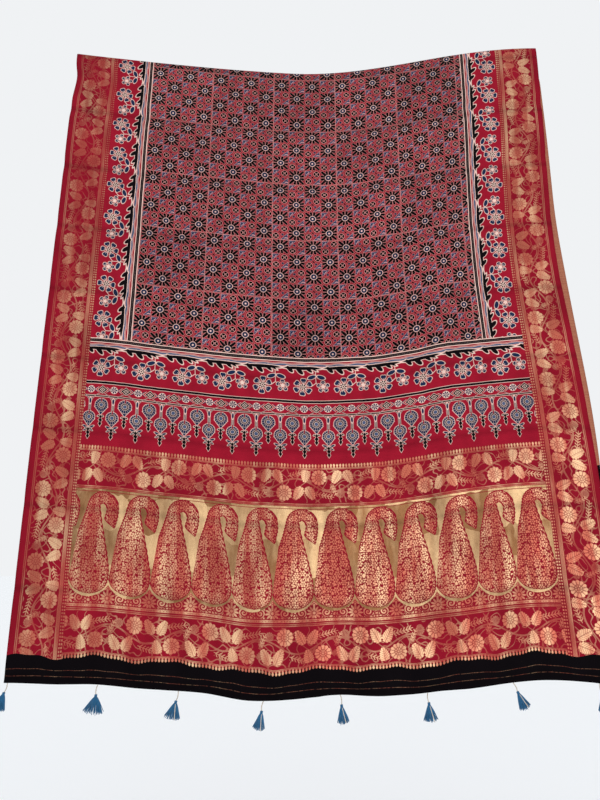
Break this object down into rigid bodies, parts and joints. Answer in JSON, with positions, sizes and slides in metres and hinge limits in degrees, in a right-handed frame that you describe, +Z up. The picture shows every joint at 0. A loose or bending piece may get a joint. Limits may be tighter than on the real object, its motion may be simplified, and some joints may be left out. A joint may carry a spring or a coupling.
{
  "type": "hanging ajrakh cloth",
  "caption": "Long printed and brocaded cloth hung folded over at its top, its front layer longer than its back one, with small tassels along both hems.",
  "frame": {"origin": "top of the fold at the middle of the cloth's width, where it is held up", "axes": "+Z up, +X to the right of someone facing the front layer, which looks along -Y"},
  "size_m": [1.0433, 0.0673, 1.3429],
  "materials": {
    "cloth": "crimson cotton-silk block printed in black, indigo and cream, with gold brocade borders",
    "tassel_thread": "dull blue thread"
  },
  "bodies": {
    "root": {"cloth": "cloth", "tassel_front_1": "tassel_thread", "tassel_front_2": "tassel_thread", "tassel_front_3": "tassel_thread", "tassel_front_4": "tassel_thread", "tassel_front_5": "tassel_thread", "tassel_front_6": "tassel_thread", "tassel_front_7": "tassel_thread", "tassel_front_8": "tassel_thread", "tassel_back_1": "tassel_thread", "tassel_back_2": "tassel_thread", "tassel_back_3": "tassel_thread", "tassel_back_4": "tassel_thread", "tassel_back_5": "tassel_thread", "tassel_back_6": "tassel_thread", "tassel_back_7": "tassel_thread", "tassel_back_8": "tassel_thread"}
  },
  "joints": []
}
